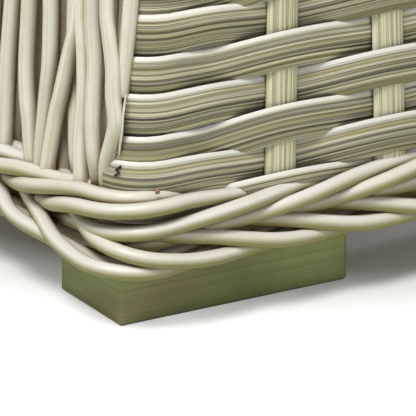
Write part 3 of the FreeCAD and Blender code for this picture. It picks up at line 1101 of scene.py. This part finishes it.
@dataclass
class Stakes:
    """The flat grooved uprights that the skirt is woven on."""

    face: Face
    count: int = 6
    pitch: float = 50.0 * MM
    width: float = 15.0 * MM
    thickness: float = 3.8 * MM
    segments: int = 26
    shifts: tuple[float, ...] = (-0.8, 1.8, 0.6, -0.9, 0.4, 0.8)
    seed: int = 5

    def build(self, palette: Palette) -> None:
        """Make the stakes.

        Args:
            palette: the finishes.
        """
        node = f"stakes_{self.face.name.lower()}"
        low, high = IN_PLAIT, level(node, True)
        whole = bmesh.new()
        across = whole.loops.layers.uv.new("UVMap")
        tones = whole.verts.layers.float.new("tone")
        chance = random.Random(self.seed + self.face.value)
        for number in range(self.count):
            self._stake(whole, number, low, high, chance, across, tones)
        bmesh.ops.recalc_face_normals(whole, faces=whole.faces)
        sharpen(whole)
        piece = add_piece(f"grooved_{node}", whole, palette.stake)
        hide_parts(node)

    def _stake(self, whole: bmesh.types.BMesh, number: int, low: float, high: float,
               chance: random.Random, across: object, tones: object) -> None:
        """Add one stake, extruded up in steps and then leant into place.

        Args:
            whole: the mesh to add to.
            number: which stake, from the left.
            low: height of its foot.
            high: height of its top.
            chance: source of small differences.
            across: the UV layer.
            tones: the tone layer.
        """
        outline = ribbed_profile(self.width, self.thickness, STAKE_RIBS, 0.45 * MM, PER_RIB)
        ring = [whole.verts.new((-up, -out, low)) for out, up in outline]
        cap = whole.faces.new(ring)
        made = set(ring)
        faces = [cap]
        for _ in range(self.segments):
            extruded = bmesh.ops.extrude_face_region(whole, geom=[faces[-1]])
            top = [item for item in extruded["geom"] if isinstance(item, bmesh.types.BMVert)]
            bmesh.ops.translate(whole, verts=top, vec=(0, 0, (high - low) / self.segments))
            made.update(top)
            faces.append(next(item for item in extruded["geom"] if isinstance(item, bmesh.types.BMFace)))
        bmesh.ops.delete(whole, geom=faces[1:-1], context="FACES_ONLY")
        tone = chance.uniform(0.5, 1.0)
        turn = Matrix.Rotation(self.face.value * math.pi / 2, 3, "Z")
        for face in {face for vert in made for face in vert.link_faces}:
            for corner in face.loops:
                place = corner.vert.co
                corner[across].uv = ((place.x / self.width + 0.5) / 2, place.z)
        phase = chance.uniform(0, 6.28)
        for vert in made:
            height = vert.co.z
            share = LEAN.half(height) / LEAN.half(STAKES_FOOT)
            middle = ((number - (self.count - 1) / 2) * self.pitch + self.shifts[number] * MM) * share
            sway = 0.7 * MM * math.sin(height * 17 + phase)
            vert[tones] = tone
            vert.co = turn @ Vector((middle + sway + vert.co.x, -LEAN.half(height) + vert.co.y, height))


def sharpen(shape: bmesh.types.BMesh, angle: float = 0.9) -> None:
    """Mark the edges that turn more than an angle as sharp.

    Args:
        shape: the mesh.
        angle: in radians.
    """
    for edge in shape.edges:
        edge.smooth = edge.calc_face_angle(0.0) < angle


@dataclass
class SideScreen:
    """Upright canes in two layers that close the left or right of the skirt.

    Attributes:
        face: left or right.
        front_canes: canes in the outer layer.
        rear_canes: canes in the inner one.
        seed: of its small differences.
        tuck: how far a foot is tucked in behind the plait, in millimetres.
        next_foot: from the last of the near canes' feet to the next cane's, in millimetres.
        first_raised: how much higher the foot beside the corner ends.
        near: lower points of the outer canes beside the front corner, from the top down: distance from
            the corner's arc, height and any bulge, in millimetres.
        near_rear: the same of the inner layer.
    """

    face: Face
    front_canes: int = 27
    rear_canes: int = 26
    seed: int = 23
    tuck: float = 4.5
    next_foot: float = 14.6
    first_raised: float = 6.5 * MM
    near: tuple[tuple[tuple[float, ...], ...], ...] = (
        ((9.7, 134), (5.5, 108), (3.0, 95, 1.4), (0.8, 84, 2.4), (-0.4, 72, 1.8), (2.0, 63, -1.4),
         (4.4, 57, -4.0)),
        ((17.5, 134), (14.0, 108), (12.5, 92), (14.0, 73), (11.6, 55), (11.0, 50)),
        ((17.6, 140), (19.6, 128), (22.6, 115), (27.4, 101), (31.6, 87), (35.4, 75), (40.4, 48)),
        ((43.5, 134), (42.5, 118), (41.9, 97), (43.6, 78), (45.0, 50)),
        ((60.0, 128), (60.6, 108), (60.8, 91), (59.2, 78), (56.3, 68), (51.4, 50)),
        ((73.8, 128), (74.6, 112), (76.2, 87), (76.2, 66), (75.4, 48)),
    )
    near_rear: tuple[tuple[tuple[float, float], ...], ...] = (
        ((3.0, 120), (4.0, 90), (6.0, 60)),
        ((15.0, 120), (16.8, 108), (20.0, 99), (21.7, 85), (23.5, 73), (22.0, 48)),
        ((36.0, 120), (33.0, 95), (29.0, 60)),
        ((47.0, 128), (45.5, 105), (42.5, 80), (41.0, 60), (40.0, 48)),
        ((52.6, 120), (51.9, 90), (49.7, 65), (48.0, 48)),
        ((66.5, 120), (67.5, 85), (66.5, 50)),
    )

    def _cane(self, low: float, high: float, out: float, known: Sequence[tuple[float, float]],
              corner: Corner, goal: float, chance: random.Random) -> Strand:
        """One cane, from its known lower points up to its place at the top.

        Args:
            low: height of its foot.
            high: height of its top.
            out: outward place of its layer.
            known: its lower points, as `near` gives them.
            corner: the corner that distances count from.
            goal: distance from the arc at its top.
            chance: source of small differences.

        Returns:
            The strand.
        """
        last, (first, above) = known[-1][0], known[0][:2]
        guides = [(last, low / MM, -self.tuck)] + [(*place, 0.0)[:3] for place in reversed(known)]
        stretch = (high / MM - above)
        for share in (0.25, 0.5, 0.75):
            far = first + (goal - first) * share + chance.uniform(-2.2, 2.2)
            guides.append((far, above + stretch * share, chance.uniform(-0.7, 0.7)))
        guides.append((goal, high / MM, 0.0))
        path = []
        for far, tall, bulge in smooth_path(guides, 4):
            path.append(LEAN.corner(corner, LEAN.arc + far * MM, out + bulge * MM, tall * MM))
        return Strand(path, chance.uniform(0.3, 1.0))

    def _layer(self, count: int, out: float, node: str, near: Sequence,
               chance: random.Random) -> list[Strand]:
        """One layer of canes across the face.

        Args:
            count: canes in it.
            out: outward place of the layer.
            node: its CAD node, for its levels.
            near: known lower paths beside the front corner.
            chance: source of small differences.

        Returns:
            The strands.
        """
        high = level(node, True)
        strands = []
        corner = Corner.FRONT_LEFT if self.face is Face.LEFT else Corner.FRONT_RIGHT
        wide, narrow = (2 * LEAN.straight(height) / MM for height in (0.07, high))
        for number in range(count):
            goal = narrow * (number + 0.5) / count + chance.uniform(-0.8, 0.8)
            if number < len(near):
                known = near[number]
                if self.face is Face.RIGHT:
                    known = [(place[0] + chance.uniform(-1.5, 1.5), place[1]) for place in known]
            else:
                start = near[-1][-1][0] + self.next_foot
                spacing = (wide + 2 - start) / (count - len(near))
                middle = start + spacing * (number - len(near)) + chance.uniform(-1.2, 1.2)
                known = [
                    (middle + chance.uniform(-2.4, 2.4), tall) for tall in (132, 104, 76, 50)
                ]
            # The cane beside the corner ends higher, behind the plait's topmost cane.
            low = IN_PLAIT + (self.first_raised if number == 0 else 0.0)
            strands.append(self._cane(low, high, out, known, corner, goal, chance))
        return strands

    def build(self, palette: Palette) -> None:
        """Make both layers.

        Args:
            palette: the finishes.
        """
        chance = random.Random(self.seed + self.face.value)
        side = self.face.name.lower()
        layers = (
            ("front", self.front_canes, 0.0, self.near),
            ("rear", self.rear_canes, -(CANE + GAP), self.near_rear),
        )
        for layer, count, out, near in layers:
            node = f"screen_{layer}_{side}"
            strands = self._layer(count, out, node, near, chance)
            name = f"upright_canes_{layer}_{side}"
            piece = Sweep(CANE / 2, sides=3).build(name, strands, palette.cane, "cane")
            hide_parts(node)


def corner_cane(corner: Corner, guides: Sequence[tuple[float, float]], steps: int, tone: float) -> Strand:
    """A cane of the inner layer that stands on a corner's arc.

    Args:
        corner: where it stands.
        guides: the turn round the arc and the height, from its foot up.
        steps: points between two guides.
        tone: how light it is.

    Returns:
        The strand.
    """
    path = [
        LEAN.corner(corner, turn * LEAN.corner_radius, -(CANE + GAP), tall)
        for turn, tall in smooth_path(guides, steps)
    ]
    return Strand(path, tone)


@dataclass
class CornerCanes:
    """Canes that fill a corner between the woven panel and the side screen."""

    corner: Corner
    seed: int = 41
    outer: tuple[tuple[tuple[float, float, float], ...], ...] = (
        ((86.0, 51, -5.0), (84.0, 58, -4.0), (76.0, 68, -1.0), (63.0, 79.5, 2.2), (57.0, 89, 4.4),
         (60.0, 99.5, 5.0), (62.0, 112, 4.8), (67.5, 124, 4.6), (72.0, 136, 4.4), (74.0, 175, 4.0),
         (70.0, 240, 3.4), (72.0, 330, 3.0), (70.0, 428, 2.4)),
        ((57.0, 99, 1.4), (53.5, 113, 1.8), (50.5, 126, 2.0), (49.0, 139, 2.0), (47.0, 175, 2.0),
         (46.0, 250, 1.8), (43.0, 340, 1.6), (44.0, 428, 1.4)),
    )
    inner: tuple[float, ...] = (8.0, 38.0, 66.0)

    def build(self, palette: Palette) -> None:
        """Make the canes.

        Args:
            palette: the finishes.
        """
        chance = random.Random(self.seed + self.corner.value[0] * 3 + self.corner.value[1])
        node = f"corner_canes_{self.corner.label}"
        high = level(node, True)
        wobble = 0.0 if self.corner is Corner.FRONT_LEFT else 2.5
        strands = []
        for outline in self.outer:
            guides = [
                (math.radians(angle + chance.uniform(-wobble, wobble)), min(tall * MM, high), out * MM)
                for angle, tall, out in outline
            ]
            path = [
                LEAN.corner(self.corner, angle * LEAN.corner_radius, out, tall)
                for angle, tall, out in smooth_path(guides, 5)
            ]
            strands.append(Strand(path, 0.62))
        for angle in self.inner:
            guides = [
                (math.radians(angle + chance.uniform(-4, 4)), IN_PLAIT + (high - IN_PLAIT) * share / 5)
                for share in range(6)
            ]
            # The inner canes get a low tone, darker than the outer ones: painted shade for the layer
            # behind.
            strands.append(corner_cane(self.corner, guides, 5, 0.3))
        piece = Sweep(CANE / 2, sides=3).build(f"upright_{node}", strands, palette.cane, "cane")
        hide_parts(node)


@dataclass
class LegCanes:
    """Three canes up each corner post of the open trellis."""

    corner: Corner
    angles: tuple[float, ...] = (0.0, 45.0, 90.0)
    sway: float = 2.0
    seed: int = 61

    def build(self, palette: Palette) -> None:
        """Make the canes.

        Args:
            palette: the finishes.
        """
        chance = random.Random(self.seed + self.corner.value[0] * 3 + self.corner.value[1])
        node = f"leg_canes_{self.corner.label}"
        low, high = level(node), level(node, True)
        strands = []
        for angle in self.angles:
            guides = [
                (math.radians(angle + chance.uniform(-self.sway, self.sway)),
                 low + (high - low) * step / STRETCHES)
                for step in range(STRETCHES + 1)
            ]
            strands.append(corner_cane(self.corner, guides, 3, chance.uniform(0.4, 1.0)))
        piece = Sweep(CANE / 2, sides=3).build(f"trellis_{node}", strands, palette.cane, "cane")
        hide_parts(node)


@dataclass
class Uprights:
    """The open trellis canes of one face."""

    face: Face
    count: int = 3
    spread: float = UPRIGHT_SPREAD
    seed: int = 71

    def build(self, palette: Palette) -> None:
        """Make the canes.

        Args:
            palette: the finishes.
        """
        chance = random.Random(self.seed + self.face.value)
        node = f"uprights_{self.face.name.lower()}"
        low, high = level(node), level(node, True)
        strands = []
        for number in range(self.count):
            guides = [
                (chance.uniform(-0.9, 0.9) * MM * math.sin(math.pi * step / STRETCHES),
                 low + (high - low) * step / STRETCHES)
                for step in range(STRETCHES + 1)
            ]
            path = []
            for sway, tall in smooth_path(guides, 3):
                along = (number - (self.count - 1) / 2) * self.spread * LEAN.half(tall) + sway
                path.append(LEAN.ring(along + self.face.value * LEAN.quarter(tall), 0.0, tall))
            strands.append(Strand(path, chance.uniform(0.4, 1.0)))
        piece = Sweep(CANE / 2, sides=3).build(f"trellis_{node}", strands, palette.cane, "cane")
        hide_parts(node)


class Band(Enum):
    """The two woven bands on the trellis."""

    WAIST = "band_weave"
    CAP = "cap_weave"


@dataclass
class BandWeave:
    """Ribbed strands woven over the uprights, at the waist or under the crown."""

    band: Band
    face: Face
    rows: int
    swing: float = 4.6 * MM
    thickness: float = 2.5 * MM
    wrap: float = 38.0
    spread: float = UPRIGHT_SPREAD
    seed: int = 83

    def build(self, palette: Palette) -> None:
        """Make the strands.

        Args:
            palette: the finishes.
        """
        chance = random.Random(self.seed + self.face.value)
        node = f"{self.band.value}_{self.face.name.lower()}"
        low, high = level(node), level(node, True)
        pitch = (high - low) / self.rows
        profile = ribbed_profile(pitch * 0.99, self.thickness, WEAVER_RIBS, 0.35 * MM, PER_RIB)
        strands = []
        for number in range(self.rows):
            middle = low + pitch * (number + 0.5)
            span = self.spread * LEAN.half(middle)
            reach = LEAN.straight(middle) + LEAN.corner_radius * math.radians(self.wrap)
            count = 48
            path = []
            for step in range(count + 1):
                along = reach * (2 * step / count - 1)
                weave = self.swing * math.cos(math.pi * (along / span + number + self.face.value))
                edge = eased(abs(along), LEAN.straight(middle) * 0.8, LEAN.straight(middle))
                out = weave * (1 - edge) + (0.6 + 0.5 * (number % 2)) * MM * edge
                path.append(LEAN.ring(along + self.face.value * LEAN.quarter(middle), out, middle))
            strands.append(Strand(path, chance.uniform(0.3, 1.0)))
        piece = Sweep(profile=profile).build(f"ribbed_{node}", strands, palette.weaver, "weaver")
        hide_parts(node)


@dataclass
class Fixings:
    """Small nails and staples that hold the strand ends, and slivers split off a cut end."""

    nails: tuple[tuple[float, float, float], ...] = (
        (5.4, 61.0, 4.6), (3.0, 236.0, 2.2), (-6.0, 372.0, 2.2),
    )
    staples: tuple[tuple[float, float], ...] = ((20.2, 68.0), (18.0, 205.0), (18.5, 344.0))
    slivers: tuple[tuple[tuple[float, float, float], ...], ...] = (
        ((17.6, 101.0, 4.6), (18.4, 92.0, 4.9), (18.8, 84.0, 4.2), (20.0, 75.0, 2.4)),
        ((19.0, 97.0, 5.4), (19.8, 89.0, 4.4), (20.4, 83.0, 3.4)),
    )
    staple_legs: tuple[tuple[float, float, float], ...] = (
        (1.0, -2.0, -1.0), (1.2, -1.9, 2.0), (-0.7, -0.4, 2.6), (0.9, 0.7, 2.3), (-0.8, 2.0, 2.4),
        (-0.9, 2.2, -1.0),
    )
    head: float = 1.2 * MM
    wire: float = 0.5 * MM
    sliver: float = 0.75 * MM

    def _nails(self) -> bmesh.types.BMesh:
        """Nail heads at all four corners.

        Returns:
            Their mesh.
        """
        whole = bmesh.new()
        for corner in Corner:
            for along, tall, out in self.nails:
                place = LEAN.corner(corner, along * MM, out * MM, tall * MM)
                inner = LEAN.corner(corner, along * MM, 0.0, tall * MM)
                turn = (place - inner).to_track_quat("Z", "Y").to_matrix().to_4x4()
                bmesh.ops.create_uvsphere(
                    whole, u_segments=12, v_segments=6, radius=self.head,
                    matrix=Matrix.Translation(place) @ turn @ Matrix.Diagonal((1, 1, 0.5, 1)),
                )
        return whole

    def build(self, palette: Palette) -> None:
        """Make nails, staples and slivers.

        Args:
            palette: the finishes.
        """
        add_piece("nail_heads", self._nails(), palette.copper)
        wires = [
            Strand([
                LEAN.corner(corner, (along + side) * MM, out * MM, (tall + up) * MM)
                for side, up, out in self.staple_legs
            ])
            for corner in Corner for along, tall in self.staples
        ]
        Sweep(self.wire, sides=1).build("wire_staples", wires, palette.rust, "fastener")
        thin = [
            Strand(
                [LEAN.corner(corner, x * MM, out * MM, z * MM) for x, z, out in smooth_path(sliver, 4)],
                0.9, [0.35 + 0.65 * math.sin(math.pi * step / (4 * len(sliver) - 4)) for step in
                      range(4 * len(sliver) - 3)],
            )
            for corner in Corner for sliver in self.slivers
        ]
        Sweep(self.sliver, sides=1).build("split_slivers", thin, palette.cane, "cane")


@dataclass
class Studio:
    """Floor, lamps, white world and camera."""

    target: Vector = field(default_factory=lambda: Vector((-0.1593, -0.200, 0.0476)))
    right: Vector = field(default_factory=lambda: Vector((0.8634, -0.5045, 0.0)))
    rise: Vector = field(default_factory=lambda: Vector((0.18, 0.308, 0.9342)))
    distance: float = 5.706
    lens: float = 1200.0
    key: float = 96.0
    fill: float = 9.0
    back: float = 30.0
    ambient: float = 0.34
    glow: float = 0.42

    def build(self) -> None:
        """Set the stage."""
        self._floor()
        self._world()
        self._lamp("key", Vector((-1.6, -1.0, 2.9)), 1.0, self.key)
        self._lamp("fill", Vector((1.2, -2.4, 1.2)), 1.8, self.fill)
        self._lamp("back", Vector((1.6, 2.4, 2.0)), 1.8, self.back)
        self._camera()
        bpy.context.scene.view_settings.view_transform = "Standard"

    def _floor(self) -> None:
        """A pale disc, glowing for the camera except under and round the obelisk, where it holds a painted
        shadow.
        """
        shape = bmesh.new()
        bmesh.ops.create_circle(shape, cap_ends=True, segments=96, radius=6.0)
        mesh = bpy.data.meshes.new("floor")
        shape.to_mesh(mesh)
        shape.free()
        graph = Graph.named("pale_floor")
        cloud = graph.noise(graph.node("TexCoord", output="Object"), 3.0)
        seen = graph.node("LightPath", output="Is Camera Ray")
        away = graph.node("VectorMath", {"operation": "LENGTH"}, {
            0: graph.node("TexCoord", output="Object")}, "Value")
        # Painted shadow: the camera glow fades out from 0.26 m to 0.20 m from the middle, so the floor
        # there shows its real shadow, darkened further by the missing glow.
        glow_outside_painted_shadow = graph.range(away, 0.20, 0.26)
        mesh.materials.append(graph.finish({
            "Base Color": graph.mix(
                seen, (0.60, 0.62, 0.49),
                graph.mix(graph.range(cloud, 0.3, 0.7), (0.62, 0.62, 0.62), (0.65, 0.65, 0.65)),
            ),
            "Roughness": 0.9,
            "Emission Color": graph.mix(seen * glow_outside_painted_shadow, (0.0, 0.0, 0.0), (self.glow,) * 3),
            "Emission Strength": 1.0,
        }))
        floor = bpy.data.objects.new("floor", mesh)
        bpy.context.collection.objects.link(floor)

    def _world(self) -> None:
        """White to the camera, in reflections and through glass; a soft level on the object."""
        world = bpy.data.worlds.new("studio")
        bpy.context.scene.world = world
        graph = Graph(world)
        camera, glossy, through = (
            graph.node("LightPath", output=f"Is {kind} Ray")
            for kind in ("Camera", "Glossy", "Transmission")
        )
        seen = graph.math("MAXIMUM", graph.math("MAXIMUM", camera, glossy), through)
        soft = graph.node("Background", None, {"Strength": self.ambient, "Color": (1.0,) * 4})
        white = graph.node("Background", None, {"Color": (1.0,) * 4})
        both = graph.node("MixShader", None, {0: seen, 1: soft, 2: white})
        graph.node("OutputWorld", None, {"Surface": both})

    @staticmethod
    def _lamp(name: str, place: Vector, size: float, power: float) -> None:
        """A square soft lamp aimed at the lower body.

        Args:
            name: its name.
            place: where it hangs.
            size: its side.
            power: in watts.
        """
        data = bpy.data.lights.new(name, "AREA")
        data.size = size
        data.energy = power
        lamp = bpy.data.objects.new(name, data)
        lamp.location = place
        lamp.rotation_euler = (place - Vector((0, 0, 0.3))).to_track_quat("Z", "Y").to_euler()
        bpy.context.collection.objects.link(lamp)

    def _camera(self) -> None:
        """The camera, low at the front left corner."""
        back = self.right.cross(self.rise).normalized()
        data = bpy.data.cameras.new("camera")
        data.lens = self.lens
        data.sensor_width = 36.0
        data.clip_end = 50.0
        camera = bpy.data.objects.new("camera", data)
        turn = Matrix((self.right.normalized(), self.rise.normalized(), back)).transposed()
        camera.matrix_world = Matrix.Translation(self.target + back * self.distance) @ turn.to_4x4()
        bpy.context.collection.objects.link(camera)
        bpy.context.scene.camera = camera


def main() -> None:
    """Build the obelisk and its studio."""
    logging.basicConfig(level=logging.INFO, format="%(message)s")
    palette = Palette()
    Plait(
        "plaited_foot", ("base_plait",), strands=9, waves=41, middle=40.0 * MM, rise=10.9 * MM,
        depth=7.3 * MM, start=-158.0 * MM, corner_lift=0.55, corner_drop=0.2, crowding=21.0 * MM,
        spread=30.0 * MM, late=0.26,
    ).build(palette.plait)
    border_low, border_high = level("skirt_border"), level("border_cap", True)
    Plait(
        "plaited_border", ("skirt_border", "border_cap"), strands=7, waves=17,
        middle=(border_low + border_high) / 2, rise=(border_high - border_low) / 2 - CANE / 2,
        depth=7.0 * MM,
    ).build(palette.plait)
    for face in (Face.FRONT, Face.BACK):
        SkirtPanel(face).build(palette)
        Stakes(face).build(palette)
    for face in (Face.LEFT, Face.RIGHT):
        SideScreen(face).build(palette)
    for corner in Corner:
        CornerCanes(corner).build(palette)
        LegCanes(corner).build(palette)
    for face in Face:
        Uprights(face).build(palette)
        BandWeave(Band.WAIST, face, rows=6).build(palette)
        BandWeave(Band.CAP, face, rows=8).build(palette)
    Fixings().build(palette)
    dress_nodes(("foot_front", "foot_back", "crown_plate", "pyramid", "finial"), palette.metal)
    dress_nodes(("post_front", "post_back", "base_rail", "skirt_rail", "band_rail"), palette.frame)
    dress_nodes(("foot_bolts", "post_foot", "post_top", "crown_screws", "finial_stud"), palette.steel)
    Studio().build()


if __name__ == "__main__":
    main()
